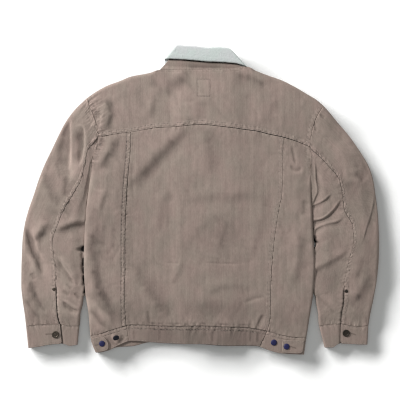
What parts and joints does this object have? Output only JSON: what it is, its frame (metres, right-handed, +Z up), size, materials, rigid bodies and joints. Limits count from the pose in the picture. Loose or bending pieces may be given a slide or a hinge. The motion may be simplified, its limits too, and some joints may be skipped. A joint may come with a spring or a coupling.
{
  "type": "sherpa lined jacket",
  "caption": "Corduroy trucker jacket with a sherpa collar and lining, laid out flat face down, with its sleeves beside the body.",
  "frame": {"origin": "under the middle of the whole laid-out jacket, on the surface it lies on", "axes": "+X across the back towards the wearer's right sleeve, +Y towards the collar, +Z up from the surface"},
  "size_m": [0.8598, 0.7424, 0.0208],
  "materials": {
    "corduroy": "washed fine-wale corduroy, matt, with faded wales",
    "sherpa": "short pale sherpa pile, matt",
    "bronze": "dark antique bronze tack buttons and rivets",
    "navy": "navy tack buttons, satin"
  },
  "bodies": {
    "root": {"back_yoke": "corduroy", "back_centre": "corduroy", "back_side_left": "corduroy", "back_side_right": "corduroy", "waistband_back": "corduroy", "waistband_left": "corduroy", "waistband_right": "corduroy", "tab_left": "corduroy", "tab_right": "corduroy", "tab_button_left_outer": "navy", "tab_button_left_inner": "navy", "tab_button_right_outer": "navy", "tab_button_right_inner": "navy", "sleeve_top_left": "corduroy", "sleeve_top_right": "corduroy", "sleeve_under_left": "corduroy", "sleeve_under_right": "corduroy", "cuff_left": "corduroy", "cuff_right": "corduroy", "cuff_button_left": "bronze", "cuff_button_right": "bronze", "placket_rivet_left": "bronze", "placket_rivet_right": "bronze", "collar_fall": "sherpa", "collar_stand": "corduroy", "front_left": "corduroy", "front_right": "corduroy", "front_placket": "corduroy", "front_button_1": "bronze", "front_button_2": "bronze", "front_button_3": "bronze", "front_button_4": "bronze", "front_button_5": "bronze", "front_button_6": "bronze"}
  },
  "joints": []
}
